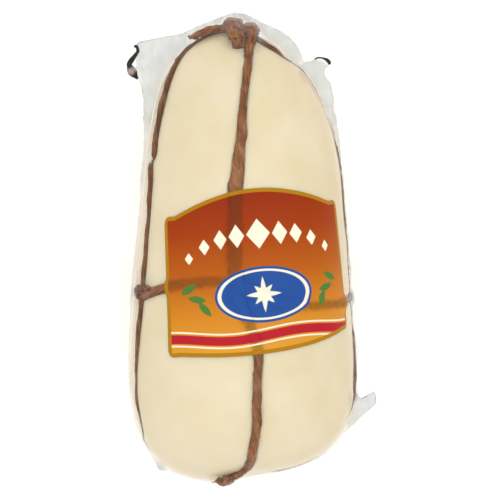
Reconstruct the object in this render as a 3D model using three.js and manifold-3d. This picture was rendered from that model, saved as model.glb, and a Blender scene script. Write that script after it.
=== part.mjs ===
// A provola: a long pear-shaped stretched-curd cheese, tied with twine and vacuum-packed in a clear film bag.
// It lies on its back with the labelled front up. Millimetres, +Z up, +Y towards the knotted head.
import * as THREE from "three";
import { mergeVertices } from "three/addons/utils/BufferGeometryUtils.js";
import Module from "manifold-3d";

const wasm = await Module();
wasm.setup();

const { PI, abs, cos, max, min, sin, sqrt } = Math;
const { clamp, degToRad, euclideanModulo, lerp, radToDeg, smoothstep } = THREE.MathUtils;

// Cheese. A place on it is (t, bearing): t runs from 0 at the head's tip to 1 at the foot's,
// and the bearing turns about the length from 0 at the front towards +X.
const LENGTH = 194;
const MIDDLE_WIDTH = 90.5;
const TAPER = 13.9; // how much wider the foot half grows towards its tip, and the head half narrower
const HEAD_BLUNT = 4.2; // exponents of the tips' rounding, larger for a blunter tip
const FOOT_BLUNT = 5.6;
const DEPTH_SHARE = 0.88; // depth from front to back, over width
const SQUARENESS = 2.3; // exponent of the section's superellipse
const HEAD_LEAN = 5; // sideways shift of the tips, to -X
const FOOT_LEAN = 7;
const FOOT_SKEW = 0.02; // slope of the foot, which is longer on the left
const FLAT = 2.5; // how much of the back is pressed flat where the cheese rests
const LUMP = 0.008; // hand-shaped unevenness, over the section's radius
const ROWS_ABOVE = 21; // rows of facets from the head to the waist twine
const ROWS_BELOW = 15;
const COLUMNS_BETWEEN = 16; // columns of facets between neighbouring strands
const GATHER = 0.75; // how closely the columns gather at the strands, from 0 to 1

// Twine. Four strands run from the knot to the foot, and a fifth goes round the waist.
const TWINE = 3.5;
const BITE = 1.4; // how deep the twine presses into the cheese
const GROOVE = 6; // half-width of the groove that it leaves, at the brim
const GAP = 0.5; // clearance between separate pieces
const FLOOR_GAP = 0.2; // the twine under the back stays this far above the floor
// The waist strand's t at a bearing in degrees: it goes lower where it has passed round the front strand
const WAIST = [
  [-180, 0.585], [-110, 0.585], [-65, 0.575], [-45, 0.561], [-28, 0.55], [-6, 0.547],
  [6, 0.568], [22, 0.594], [45, 0.6], [66, 0.596], [110, 0.59], [180, 0.585],
];
const CROSSING = 0.58; // t near which the strands meet the waist strand
// Each strand's bearing in degrees at a t
const STRANDS = [
  [
    [0, 20], [0.03, 19], [0.06, 13], [0.1, 7], [0.2, 1], [0.34, -3.5], [0.54, -4], [0.7, 7.8],
    [0.78, 7.6], [0.88, 7.6], [0.93, 8.6], [0.957, 11], [0.975, 10.5], [0.985, 5], [1, 0],
  ],
  [
    [0, 60], [0.022, 50], [0.045, 55], [0.062, 66], [0.08, 88], [0.1, 104], [0.13, 112], [0.16, 113],
    [0.2, 108], [0.25, 95], [0.29, 88], [0.34, 82], [0.375, 78], [0.42, 76], [0.45, 78], [0.48, 84],
    [0.53, 90], [0.6, 91], [0.68, 88], [0.72, 85.5], [0.75, 82], [0.79, 80], [0.81, 83], [0.84, 94],
    [0.88, 106], [0.92, 111], [0.96, 112], [1, 110],
  ],
  [[0, 182], [0.3, 178], [0.5, 178], [0.7, 184], [1, 184]],
  [
    [0, 288], [0.02, 292], [0.05, 292], [0.09, 295], [0.17, 296.5], [0.3, 295.5], [0.45, 296], [0.6, 296],
    [0.7, 293.9], [0.8, 292], [0.885, 290.5], [0.91, 276], [0.94, 262], [0.97, 256], [1, 254],
  ],
];
const BACK_STRAND = 2;
const STRAND_ENDS = [0.0005, 0.9995];
const STRAND_STEPS = 30;
const WAIST_STEPS = 13;
const TWINE_SIDES = 8;
const HITCH = { across: 6.8, thick: 4.8, lift: 1.35 }; // the loop that the waist strand throws round another

// Knots, as ropes through places given as [t, bearing in degrees, height above the skin]
const KNOT_ROPES = [
  { thick: 6.4, places: [[0.002, -150, 3.2], [0.0006, -60, 3.3], [0.008, 2, 3.6], [0.031, 5, 3.7]] },
  { thick: 5.6, places: [[0.004, 130, 3.1], [0.0045, 80, 3.2], [0.015, 36, 3.3], [0.035, 21, 3.3]] },
  { thick: 3, places: [[0.0035, -30, 2.8], [0.0055, -55, 2.7], [0.0117, -63, 2.6], [0.022, -77, 2.4]] },
  { thick: 4.2, places: [[0.972, 6, 1.8], [0.98, -1, 2.4], [0.985, -9, 2.6], [0.982, -17, 2.4]] },
];
const KNOT_STEPS = 6;
const KNOT_HEIGHT = 6.6; // how far the film stands off the head over the knot
const KNOT_REACH = [10.5, 22]; // radii about the head's tip between which the film comes back to the skin
const KNOT_SIDE = 3; // these are larger on the left, where the knot's tail lies, and smaller on the right

// Label, measured flat: u across it and v up it. It flares towards its foot, and its lower edge slopes.
const LABEL = {
  width: 85.7, side: 58, flare: 0.036, slope: 0.047, arch: 9, sag: 3.2, shoulder: 0.9, corner: 3, thick: 0.4,
};
const LABEL_PLACE = { t: 0.536, bearing: degToRad(10.6), tilt: degToRad(5) };
const LABEL_COLUMNS = 22;
const LABEL_ROWS = 15;
const TENT = 9; // how far from a strand the film and the label over it come back to the skin

// Film. A margin of the bag stands out all round, with an ear at each corner of the bag.
const FILM = 0.6;
const MARGIN = 1;
// How far the rim stands off the cheese's side at a place round it: 0 at the head, to 1 at the foot on +X
const EDGE = [
  [-1, 2], [-0.95, 0.6], [-0.91, 0.6], [-0.894, 0.8], [-0.888, 1.4], [-0.879, 3], [-0.868, 3.2],
  [-0.855, 2], [-0.835, 1.3], [-0.8, 1], [-0.74, 1], [-0.6, 1.1], [-0.555, 2.6], [-0.42, 2.5],
  [-0.39, 3.4], [-0.345, 2.3], [-0.31, 3.2], [-0.25, 6.7], [-0.22, 12], [-0.19, 16.4], [-0.174, 17.4],
  [-0.16, 14.1], [-0.147, 11.3], [-0.132, 8.8], [-0.114, 6.6], [-0.092, 5.6], [-0.069, 5.4], [-0.041, 5.9],
  [0, 7.9], [0.02, 8.3], [0.035, 7.8], [0.05, 6.9], [0.075, 6.1], [0.103, 6.3], [0.129, 6.1],
  [0.151, 5.1], [0.167, 3.9], [0.177, 2.4], [0.183, 4.2], [0.187, 6.9], [0.1905, 9.2], [0.195, 10.2],
  [0.2, 10.8], [0.2055, 11.1], [0.209, 10.6], [0.212, 8], [0.216, 6.9], [0.226, 6.6], [0.238, 6.8],
  [0.252, 6.2], [0.272, 4.4], [0.284, 3.7], [0.3, 3.3], [0.32, 2.6], [0.34, 2], [0.38, 1],
  [0.61, 0.9], [0.64, 1.8], [0.7, 1.2], [0.706, 2.6], [0.7085, 6.4], [0.711, 9], [0.7165, 9.9],
  [0.731, 9.3], [0.75, 5.6], [0.778, 1.6], [0.8, 0.9], [0.84, 0.7], [0.96, 0.7], [1, 2],
];
const FILM_STEPS = 120;
const FILM_SIDES = 6;
const FILM_WAVES = 20; // ripples round the bag's rim
const FILM_RIPPLE = 0.12; // their height, over the margin's width

// The rolled-up tips of the two ears at the head, through places [share round the rim, distance out from it]
const ROLLS = [
  {
    name: "film_roll_left",
    thick: 2.4,
    places: [
      [-0.182, 1.7], [-0.19, 1.6], [-0.199, 2], [-0.206, 3],
      [-0.2125, 4.2], [-0.218, 4], [-0.224, 2.8], [-0.23, 1.7],
    ],
  },
  { name: "film_roll_right", thick: 1.4, places: [[0.186, 1.1], [0.193, 1.2], [0.202, 1.2], [0.209, 1.3]] },
];
const ROLL_STEPS = 12;

const FINISHES = {
  cheese: { color: 0xf0e0bd, roughness: 0.5 },
  twine: { color: 0x8f6343, roughness: 0.9 },
  label: { color: 0xc4701f, roughness: 0.35 },
  film: { color: 0xe6e7e2, roughness: 0.15, transparent: true, opacity: 0.35 },
  roll: { color: 0x2b241f, roughness: 0.4 },
};

// A smooth line through [x, y] pairs.
function follow(pairs, x) {
  const last = pairs.length - 1;
  const found = pairs.findIndex(([place]) => place > x);
  const i = found < 0 ? last : max(1, found);
  const [before, from, to, after] = [max(0, i - 2), i - 1, i, min(last, i + 1)].map((k) => pairs[k]);
  const run = to[0] - from[0];
  const s = clamp((x - from[0]) / run, 0, 1);
  const leaving = (run * (to[1] - before[1])) / (to[0] - before[0]);
  const arriving = (run * (after[1] - from[1])) / (after[0] - from[0]);
  const bend = (1 - s) * leaving - s * arriving + (2 * s - 1) * (to[1] - from[1]);
  return lerp(from[1], to[1], s) + s * (1 - s) * bend;
}

// The cheese's skin

const fromMiddle = (t) => abs(2 * t - 1);
const domes = (t) => sqrt(max(0, 1 - fromMiddle(t) ** (t < 0.5 ? HEAD_BLUNT : FOOT_BLUNT)));
const taper = (t) => (MIDDLE_WIDTH + TAPER * (2 * t - 1)) / 2;
const halfWidth = (t) => taper(t) * domes(t);
const lean = (t) => (t < 0.5 ? HEAD_LEAN * fromMiddle(t) ** 3.2 : FOOT_LEAN * fromMiddle(t) ** 10);

function skinPoint(t, bearing) {
  const across = sin(bearing);
  const upwards = cos(bearing);
  const square = (abs(across) ** SQUARENESS + abs(upwards) ** SQUARENESS) ** (-1 / SQUARENESS);
  const uneven = 1 + LUMP * (sin(2 * bearing + 1) * sin(7 * t) + sin(3 * bearing) * sin(11 * t + 1));
  const radius = halfWidth(t) * square * uneven;
  const axisHeight = DEPTH_SHARE * taper(t) - FLAT;
  return new THREE.Vector3(
    radius * across - lean(t),
    LENGTH * (0.5 - t) + FOOT_SKEW * radius * across * smoothstep(t, 0.75, 1),
    max(0, axisHeight + DEPTH_SHARE * radius * upwards),
  );
}

function skinNormal(t, bearing) {
  const step = 1e-3;
  if (t < step) return new THREE.Vector3(0, 1, 0);
  if (t > 1 - step) return new THREE.Vector3(0, -1, 0);
  const along = skinPoint(t + step / 2, bearing).sub(skinPoint(t - step / 2, bearing));
  const around = skinPoint(t, bearing + step).sub(skinPoint(t, bearing - step));
  return along.cross(around).normalize();
}

const above = (t, bearing, height) =>
  skinPoint(t, bearing).addScaledVector(skinNormal(t, bearing), height);

// Where the twine lies

const strandBearing = (strand, t) => degToRad(follow(strand, t));

// Bearing at a share of the way from one strand to the next.
function bearingBetween(index, share, t) {
  const from = strandBearing(STRANDS[index], t);
  const next = strandBearing(STRANDS[(index + 1) % STRANDS.length], t);
  return lerp(from, next < from ? next + 2 * PI : next, share);
}

const signedTurn = (angle) => euclideanModulo(angle + PI, 2 * PI) - PI;

const waistAt = (bearing) => follow(WAIST, radToDeg(signedTurn(bearing)));

// Height of the twine's middle above the skin: it is pressed in flush where the back is flat,
// and sinks in towards the foot's tip.
function twineHeight(t, bearing) {
  const underBack = smoothstep(-cos(bearing), 0.6, 0.86) * smoothstep(domes(t), 0.72, 0.9);
  const atFoot = 0.6 * smoothstep(t, 0.985, 0.998);
  return lerp(TWINE / 2 + GAP - BITE, -TWINE / 2 - FLOOR_GAP, max(underBack, atFoot));
}

function strandDistance(t, bearing) {
  const turns = STRANDS.map((strand) => abs(signedTurn(bearing - strandBearing(strand, t))));
  return min(...turns) * halfWidth(t);
}

const waistDistance = (t, bearing) => abs(t - waistAt(bearing)) * LENGTH;

const twineDistance = (t, bearing) => min(strandDistance(t, bearing), waistDistance(t, bearing));

function groove(t, bearing) {
  const depth = TWINE / 2 + GAP - twineHeight(t, bearing);
  return depth * (1 - smoothstep(twineDistance(t, bearing), 0.5, GROOVE));
}

// Height above the skin at which film clears the twine and the knots.
function filmHeight(t, bearing) {
  const overTwine = twineHeight(t, bearing) + TWINE / 2 + GAP;
  const tent = 1 - smoothstep(twineDistance(t, bearing), TWINE / 2 + 1, TENT);
  const toHitch = Math.hypot(strandDistance(t, bearing), waistDistance(t, bearing));
  const overHitch = HITCH.lift + HITCH.thick / 2 + GAP;
  const hitchTent = 1 - smoothstep(toHitch, HITCH.across / 2, TENT);
  const fromTip = halfWidth(t) + KNOT_SIDE * sin(bearing);
  const overKnot = t < 0.5 ? KNOT_HEIGHT * (1 - smoothstep(fromTip, ...KNOT_REACH)) : 0;
  return max(GAP, overTwine * tent, overHitch * hitchTent, overKnot);
}

// Geometry helpers

// Moves every vertex of a grid-like geometry to place(u, v), read from its texture coordinates.
function moulded(geometry, place) {
  const { position, uv } = geometry.attributes;
  for (let i = 0; i < position.count; i++) {
    position.setXYZ(i, ...place(uv.getX(i), uv.getY(i)).toArray());
  }
  return closed(geometry);
}

// The geometry with only its positions, and its shared vertices merged.
function closed(geometry) {
  geometry.deleteAttribute("normal");
  geometry.deleteAttribute("uv");
  return mergeVertices(geometry, 1e-4);
}

function rope(points, thick, steps) {
  const section = new THREE.Shape().absellipse(0, 0, thick / 2, thick / 2, 0, 2 * PI);
  const extrudePath = new THREE.CatmullRomCurve3(points, false, "centripetal");
  return closed(
    new THREE.ExtrudeGeometry(section, {
      steps,
      extrudePath,
      curveSegments: TWINE_SIDES / 2,
      bevelEnabled: false,
    }),
  );
}

function ball(centre, radius) {
  const geometry = new THREE.SphereGeometry(radius, TWINE_SIDES, TWINE_SIDES - 2);
  return closed(geometry.translate(...centre.toArray()));
}

function joined(geometries) {
  const solids = geometries.map(
    ({ attributes, index }) =>
      new wasm.Manifold(
        new wasm.Mesh({
          numProp: 3,
          vertProperties: attributes.position.array,
          triVerts: new Uint32Array(index.array),
        }),
      ),
  );
  const { vertProperties, triVerts } = solids.reduce((a, b) => a.add(b)).getMesh();
  return new THREE.BufferGeometry()
    .setAttribute("position", new THREE.BufferAttribute(vertProperties, 3))
    .setIndex(new THREE.BufferAttribute(triVerts, 1));
}

function piece(name, geometry, finish) {
  const mesh = new THREE.Mesh(geometry, new THREE.MeshStandardMaterial({ ...finish, metalness: 0 }));
  mesh.name = name;
  return mesh;
}

// Sub-parts

// The columns of facets follow the strands and gather there, and the rows gather at the tips and the waist.
function cheese() {
  const columns = COLUMNS_BETWEEN * STRANDS.length;
  const rows = ROWS_ABOVE + ROWS_BELOW;
  const eased = (share) => (1 - cos(PI * share)) / 2;
  const place = (u, v) => {
    const quarter = clamp(Math.floor(u * STRANDS.length), 0, STRANDS.length - 1);
    const share = u * STRANDS.length - quarter;
    const gathered = share - (GATHER * sin(2 * PI * share)) / (2 * PI);
    const waist = waistAt(2 * PI * u);
    const row = (1 - v) * rows;
    const t =
      row < ROWS_ABOVE
        ? waist * eased(row / ROWS_ABOVE)
        : lerp(waist, 1, eased((row - ROWS_ABOVE) / ROWS_BELOW));
    const bearing = bearingBetween(quarter, gathered, t);
    return above(t, bearing, -groove(t, bearing));
  };
  return piece("cheese", moulded(new THREE.SphereGeometry(1, columns, rows), place), FINISHES.cheese);
}

function twine() {
  const ropes = [];
  const [start, end] = STRAND_ENDS;
  const laid = (t, bearing) => above(t, bearing, twineHeight(t, bearing));
  STRANDS.forEach((strand, index) => {
    const points = [];
    for (let i = 0; i <= STRAND_STEPS; i++) {
      const t = lerp(start, end, (1 - cos((PI * i) / STRAND_STEPS)) / 2);
      points.push(laid(t, strandBearing(strand, t)));
    }
    ropes.push(rope(points, TWINE, STRAND_STEPS));

    const arc = [];
    for (let i = 0; i <= WAIST_STEPS; i++) {
      const bearing = bearingBetween(index, i / WAIST_STEPS, CROSSING);
      arc.push(laid(waistAt(bearing), bearing));
    }
    ropes.push(rope(arc, TWINE, WAIST_STEPS));
    ropes.push(index === BACK_STRAND ? ball(arc[0], TWINE / 2) : hitch(strand));
  });
  for (const { thick, places } of KNOT_ROPES) {
    const points = places.map(([t, degrees, height]) => above(t, degToRad(degrees), height));
    ropes.push(rope(points, thick, KNOT_STEPS), ball(points[0], thick / 2), ball(points.at(-1), thick / 2));
  }
  return piece("twine", joined(ropes), FINISHES.twine);
}

function hitch(strand) {
  const bearing = strandBearing(strand, CROSSING);
  const t = waistAt(bearing);
  const facing = new THREE.Quaternion().setFromUnitVectors(
    new THREE.Vector3(0, 0, 1),
    skinNormal(t, bearing),
  );
  const { across, thick, lift } = HITCH;
  const geometry = new THREE.SphereGeometry(0.5, TWINE_SIDES, TWINE_SIDES - 2)
    .scale(across, across, thick)
    .applyQuaternion(facing)
    .translate(...above(t, bearing, lift).toArray());
  return closed(geometry);
}

// A curved plate with an arched head and foot, wrapped round the front.
function label() {
  const { width, side, flare, slope, arch, sag, shoulder, corner, thick } = LABEL;
  const rounding = (u) => corner - sqrt(max(0, corner ** 2 - max(0, abs(u) - width / 2 + corner) ** 2));
  const bow = (u) => max(0, 1 - (u / (shoulder * width / 2)) ** 2);
  const place = (x, y, z) => {
    const across = x * width;
    const top = side / 2 + arch * bow(across) - rounding(across);
    const bottom = slope * across - side / 2 - sag * bow(across) + rounding(across);
    const v = lerp(bottom, top, y + 0.5);
    const u = across * (1 - (2 * flare * v) / side);
    const t = LABEL_PLACE.t - (v * cos(LABEL_PLACE.tilt) + u * sin(LABEL_PLACE.tilt)) / LENGTH;
    const sideways = u * cos(LABEL_PLACE.tilt) - v * sin(LABEL_PLACE.tilt);
    const bearing = LABEL_PLACE.bearing + sideways / halfWidth(t);
    return above(t, bearing, filmHeight(t, bearing) + GAP + (z + 0.5) * thick);
  };
  const plate = new THREE.BoxGeometry(1, 1, 1, LABEL_COLUMNS, LABEL_ROWS, 1);
  const { position } = plate.attributes;
  for (let i = 0; i < position.count; i++) {
    position.setXYZ(i, ...place(position.getX(i), position.getY(i), position.getZ(i)).toArray());
  }
  return piece("label", closed(plate), FINISHES.label);
}

// A place on the film's margin: share 0 is its inner edge and 1 its rim.
function marginPoint(at, share, beyond = 0) {
  const bearing = at < 0 ? -PI / 2 : PI / 2;
  const t = (1 - cos(PI * at)) / 2;
  const outward = skinNormal(t, bearing).setZ(0).normalize();
  const standing = filmHeight(t, bearing) + GAP;
  const inner = above(t, bearing, standing);
  const width = max(MARGIN, follow(EDGE, at) - standing);
  const ripple = FILM_RIPPLE * width * share * sin(FILM_WAVES * PI * at);
  return inner.addScaledVector(outward, width * share + beyond).setZ(inner.z + ripple);
}

function film() {
  const place = (u, v) => {
    const at = u > 0.5 ? 2 * u - 2 : 2 * u;
    const point = marginPoint(at, (1 - cos(2 * PI * v)) / 2);
    const upper = Math.sign(Math.round(10 * sin(2 * PI * v)));
    return point.setZ(point.z + (upper * FILM) / 2);
  };
  const ring = new THREE.TorusGeometry(1, 0.5, FILM_SIDES, FILM_STEPS);
  return piece("film", moulded(ring, place), FINISHES.film);
}

function roll({ name, thick, places }) {
  const points = places.map(([at, out]) => marginPoint(at, 1, out));
  return piece(name, rope(points, thick, ROLL_STEPS), FINISHES.roll);
}

// The origin is on the floor, under the middle of the whole pack.
const pack = new THREE.Group().add(cheese(), twine(), label(), film(), ...ROLLS.map(roll));
const middle = new THREE.Box3().setFromObject(pack).getCenter(new THREE.Vector3());
pack.position.set(-middle.x, -middle.y, 0);

const provola = new THREE.Group().add(pack);
export default provola;
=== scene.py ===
import math
import random

import bmesh
import bpy
import numpy as np
from mathutils import Matrix, Vector, noise
from mathutils.bvhtree import BVHTree


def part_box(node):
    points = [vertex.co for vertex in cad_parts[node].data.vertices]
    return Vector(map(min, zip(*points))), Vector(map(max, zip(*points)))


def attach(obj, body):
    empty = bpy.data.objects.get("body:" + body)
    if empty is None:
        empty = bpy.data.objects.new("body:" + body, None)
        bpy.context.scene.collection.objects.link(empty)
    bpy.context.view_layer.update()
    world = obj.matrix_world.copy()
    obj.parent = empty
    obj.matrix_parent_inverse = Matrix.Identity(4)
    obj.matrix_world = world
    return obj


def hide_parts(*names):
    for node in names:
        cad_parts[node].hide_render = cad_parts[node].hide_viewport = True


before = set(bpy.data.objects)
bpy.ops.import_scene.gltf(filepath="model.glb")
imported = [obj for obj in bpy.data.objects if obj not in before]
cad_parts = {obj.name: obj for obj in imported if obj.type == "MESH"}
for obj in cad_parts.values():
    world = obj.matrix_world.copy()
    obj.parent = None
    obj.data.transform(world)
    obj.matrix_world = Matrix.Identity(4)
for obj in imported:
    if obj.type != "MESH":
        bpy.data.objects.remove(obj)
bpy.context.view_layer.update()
mm = 0.001
pi = math.pi


def mix(a, b, share):
    return a + (b - a) * share


def ease(x, low, high):
    s = min(1, max(0, (x - low) / (high - low)))
    return s * s * (3 - 2 * s)


def follow(pairs, x):
    # a smooth line through (x, y) pairs
    last = len(pairs) - 1
    i = max(1, next((k for k, pair in enumerate(pairs) if pair[0] > x), last))
    before, start, end, after = (pairs[k] for k in (max(0, i - 2), i - 1, i, min(last, i + 1)))
    run = end[0] - start[0]
    s = min(1, max(0, (x - start[0]) / run))
    leaving = run * (end[1] - before[1]) / (end[0] - before[0])
    arriving = run * (after[1] - start[1]) / (after[0] - start[0])
    bend = (1 - s) * leaving - s * arriving + (2 * s - 1) * (end[1] - start[1])
    return mix(start[1], end[1], s) + s * (1 - s) * bend


# camera: looks down on the front, square to the cheese's sloping axis, from far off as a product shot is
photo = {
    "pixels": 500, "mmPerPixel": 0.4336, "slope": math.radians(3.6), "distance": 4,
    "aimRight": 3.25, "aimUp": 2.5, "height": 37,
}
cheeseLow, cheeseHigh = (Vector(c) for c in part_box("cheese"))
cheeseMiddle = (cheeseLow + cheeseHigh) / 2
aim = cheeseMiddle + mm * Vector((photo["aimRight"], photo["aimUp"], 0))
aim.z = photo["height"] * mm
lens = bpy.data.cameras.new("camera")
lens.sensor_width = 36
lens.lens = 36 * photo["distance"] / (photo["pixels"] * photo["mmPerPixel"] * mm)
camera = bpy.data.objects.new("camera", lens)
bpy.context.collection.objects.link(camera)
camera.location = aim + photo["distance"] * Vector((0, math.sin(photo["slope"]), math.cos(photo["slope"])))
camera.rotation_euler = (-photo["slope"], 0, 0)
bpy.context.scene.camera = camera
print("camera placed")


# the cheese's skin, a place on it being t along it from head to foot and a bearing round it from the front
skin = {
    "length": 194, "middleWidth": 90.5, "taper": 13.9, "headBlunt": 4.2, "footBlunt": 5.6, "depth": 0.88,
    "square": 2.3, "headLean": 5, "footLean": 7, "footSkew": 0.02, "flat": 2.5, "lump": 0.008,
    # where the twine draws it in: beside the head on the right, and under the foot to the right
    "headPress": {"depth": 2.2, "t": 0.062, "long": 0.022, "bearing": pi / 2, "round": math.radians(30)},
    "footPress": {"depth": 1.7, "across": 13, "wide": 12},
}


def signedTurn(angle):
    return (angle + pi) % (2 * pi) - pi


def domes(t):
    return math.sqrt(max(0, 1 - abs(2 * t - 1) ** (skin["headBlunt"] if t < 0.5 else skin["footBlunt"])))


def taper(t):
    return (skin["middleWidth"] + skin["taper"] * (2 * t - 1)) / 2


def halfWidth(t):
    return taper(t) * domes(t)


def skinPoint(t, bearing, drawn=1):
    # in mm, with no grooves, and without the press beside the head where drawn is 0
    across, up, s = math.sin(bearing), math.cos(bearing), abs(2 * t - 1)
    square = (abs(across) ** skin["square"] + abs(up) ** skin["square"]) ** (-1 / skin["square"])
    uneven = math.sin(2 * bearing + 1) * math.sin(7 * t) + math.sin(3 * bearing) * math.sin(11 * t + 1)
    radius = halfWidth(t) * square * (1 + skin["lump"] * uneven)
    press = skin["headPress"]
    along = (t - press["t"]) / press["long"]
    beside = signedTurn(bearing - press["bearing"]) / press["round"]
    radius -= drawn * press["depth"] * math.exp(-along ** 2 - beside ** 2)
    lean = skin["headLean"] * s ** 3.2 if t < 0.5 else skin["footLean"] * s ** 10
    height = skin["depth"] * (taper(t) + radius * up) - skin["flat"]
    skew = skin["footSkew"] * radius * across * ease(t, 0.75, 1)
    press = skin["footPress"]
    beside = (radius * across - press["across"]) / press["wide"]
    skew += press["depth"] * ease(t, 0.9, 0.97) * math.exp(-beside ** 2)
    return Vector((radius * across - lean, skin["length"] * (0.5 - t) + skew, max(0, height)))


def skinNormal(t, bearing, drawn=1):
    d = 0.001
    if t < d or t > 1 - d:
        return Vector((0, 1 if t < 0.5 else -1, 0))
    down = skinPoint(t + d / 2, bearing, drawn) - skinPoint(t - d / 2, bearing, drawn)
    turned = skinPoint(t, bearing + d, drawn) - skinPoint(t, bearing - d, drawn)
    return down.cross(turned).normalized()


# the formula's own middle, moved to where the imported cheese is
sides = [skinPoint(i / 200, b).x for i in range(201) for b in (-pi / 2, pi / 2)]
shift = Vector((cheeseMiddle.x - mm * (min(sides) + max(sides)) / 2, cheeseMiddle.y, 0))


def above(t, bearing, height, drawn=1):
    # the point so many mm out from the skin, in the frame
    return mm * (skinPoint(t, bearing, drawn) + skinNormal(t, bearing, drawn) * height) + shift


# where the twine runs: each strand's bearing in degrees at a t, and the waist strand's t at a bearing
twine = {
    "thick": 3.5, "bite": 1.4, "brim": 0.35, "gap": 0.5, "crossing": 0.58, "waistBed": (1.2, 1.9),
    # how far the waist strand is drawn in past its hitches: at what bearing, and how far round from there
    "tight": {"depth": 1.8, "left": (-pi / 2, 0.2, 0.42), "right": (0.53 * pi, 0.3, 0.6)},
    "front": ((0, 20), (0.03, 19), (0.06, 13), (0.1, 7), (0.2, 1), (0.34, -3.5), (0.54, -4), (0.7, 7.8),
              (0.78, 7.6), (0.88, 7.6), (0.93, 8.6), (0.957, 11), (0.975, 10.5), (0.985, 5), (1, 0)),
    "right": ((0, 60), (0.01, 50), (0.0225, 48.5), (0.033, 51.5), (0.044, 56.5), (0.0575, 62),
              (0.065, 76), (0.075, 93), (0.09, 103), (0.12, 108), (0.16, 107.5), (0.2, 104), (0.25, 97),
              (0.29, 91), (0.34, 83.5), (0.375, 81), (0.42, 80.5), (0.45, 83.5), (0.48, 91), (0.53, 94.5),
              (0.6, 94), (0.65, 89.5), (0.68, 87.5), (0.72, 85), (0.75, 82.5), (0.785, 81), (0.796, 83),
              (0.809, 88), (0.826, 97), (0.87, 102), (0.91, 102), (0.945, 98.5), (0.968, 94.5),
              (0.985, 93), (1, 92)),
    "back": ((0, 182), (0.3, 178), (0.5, 178), (0.7, 184), (1, 184)),
    "left": ((0, 288), (0.02, 292), (0.05, 292), (0.09, 295), (0.17, 296.8), (0.23, 296.8),
             (0.272, 297.8), (0.29, 293.8), (0.33, 295.7), (0.45, 296.2), (0.6, 296.2), (0.7, 294),
             (0.8, 292.2), (0.885, 290.5), (0.91, 276), (0.94, 262), (0.97, 256), (1, 254)),
    "waist": ((-180, 0.585), (-110, 0.585), (-74, 0.581), (-63, 0.582), (-55, 0.575), (-45, 0.563),
              (-28, 0.55), (-6, 0.547), (6, 0.568), (22, 0.594), (45, 0.6), (66, 0.596), (110, 0.59),
              (180, 0.585)),
    # how wide each strand is laid at a t: the front one opens out flat under the label
    "widths": {
        "front": ((0, 3.3), (0.17, 3.3), (0.34, 5.8), (0.56, 5.8), (0.7, 3.8), (1, 3.8)),
        "right": ((0, 4.6), (0.02, 4.4), (0.032, 3.4), (0.045, 2.4), (0.06, 1.8), (0.15, 2.4),
                  (0.45, 2.2), (0.64, 1.9), (0.7, 2.6), (0.8, 2.7), (0.9, 2.2), (1, 2.2)),
        "back": ((0, 2.7), (1, 2.7)),
        "left": ((0, 2.4), (0.06, 3), (0.13, 4), (0.2, 4.2), (0.25, 3.6), (0.272, 3.2), (0.281, 1.3),
                 (0.29, 3), (0.335, 3.6), (0.39, 2.6), (0.46, 2.5), (0.55, 3), (0.64, 2.8), (0.69, 2.7),
                 (0.73, 2.2), (0.82, 2.2), (0.87, 1.8), (1, 1.8)),
    },
}
strandNames = ("front", "right", "back", "left")
fineness = 2000  # the tables are read often, so they are worked out at this many steps
steps = range(fineness + 2)
bearings = {name: [math.radians(follow(twine[name], i / fineness)) for i in steps] for name in strandNames}
widths = {name: [follow(twine["widths"][name], i / fineness) for i in steps] for name in strandNames}
waists = [follow(twine["waist"], 360 * i / fineness - 180) for i in steps]


def readOff(values, share):
    i = int(share * fineness)
    return mix(values[i], values[i + 1], share * fineness - i)


def strandBearing(name, t):
    return readOff(bearings[name], min(1, max(0, t)))


def waistAt(bearing):
    return readOff(waists, (signedTurn(bearing) + pi) / (2 * pi))


def sunk(t, bearing):
    # 1 where the twine is pressed in flush under the back, and part of that at the foot's tip
    return max(ease(-math.cos(bearing), 0.6, 0.86) * ease(domes(t), 0.72, 0.9), 0.6 * ease(t, 0.985, 0.998))


def strandWidth(name, t):
    return readOff(widths[name], min(1, max(0, t)))


def tight(bearing):
    most = 0
    for side in ("left", "right"):
        middle, full, none = twine["tight"][side]
        most = max(most, 1 - ease(abs(signedTurn(bearing - middle)), full, none))
    return twine["tight"]["depth"] * most


def groove(t, bearing):
    # how deep the twine has pressed into the cheese here
    deep = mix(twine["bite"], twine["thick"] + twine["gap"] + 0.2, sunk(t, bearing))
    inner, outer = twine["waistBed"]
    waistPress = 1 - ease(abs(t - waistAt(bearing)) * skin["length"], inner, outer + twine["brim"])
    depth = waistPress * (deep + tight(bearing))
    for name in strandNames:
        away = abs(signedTurn(bearing - strandBearing(name, t))) * halfWidth(t)
        half = strandWidth(name, t) / 2
        depth = max(depth, deep * (1 - ease(away, half - 0.8, half + twine["brim"])))
    return depth


# materials
def linear(code):
    parts = [int(code[i:i + 2], 16) / 255 for i in (0, 2, 4)]
    return (*[c / 12.92 if c <= 0.04045 else ((c + 0.055) / 1.055) ** 2.4 for c in parts], 1)


def newMaterial(name):
    made = bpy.data.materials.new(name)
    made.use_nodes = True
    made.node_tree.nodes.clear()
    return made, made.node_tree


def add(tree, kind, inputs=None, stops=(), **settings):
    made = tree.nodes.new(kind)
    for key, value in settings.items():
        setattr(made, key, value)
    while stops and len(made.color_ramp.elements) < len(stops):
        made.color_ramp.elements.new(0.5)
    for i, (place, code) in enumerate(stops):
        made.color_ramp.elements[i].position = place
        made.color_ramp.elements[i].color = linear(code)
    for key, value in (inputs or {}).items():
        if isinstance(value, bpy.types.NodeSocket):
            tree.links.new(value, made.inputs[key])
        else:
            made.inputs[key].default_value = value
    return made


def perMetre(size):
    # the scale of a pattern whose marks are this many mm across
    return 1 / (size * mm)


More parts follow.
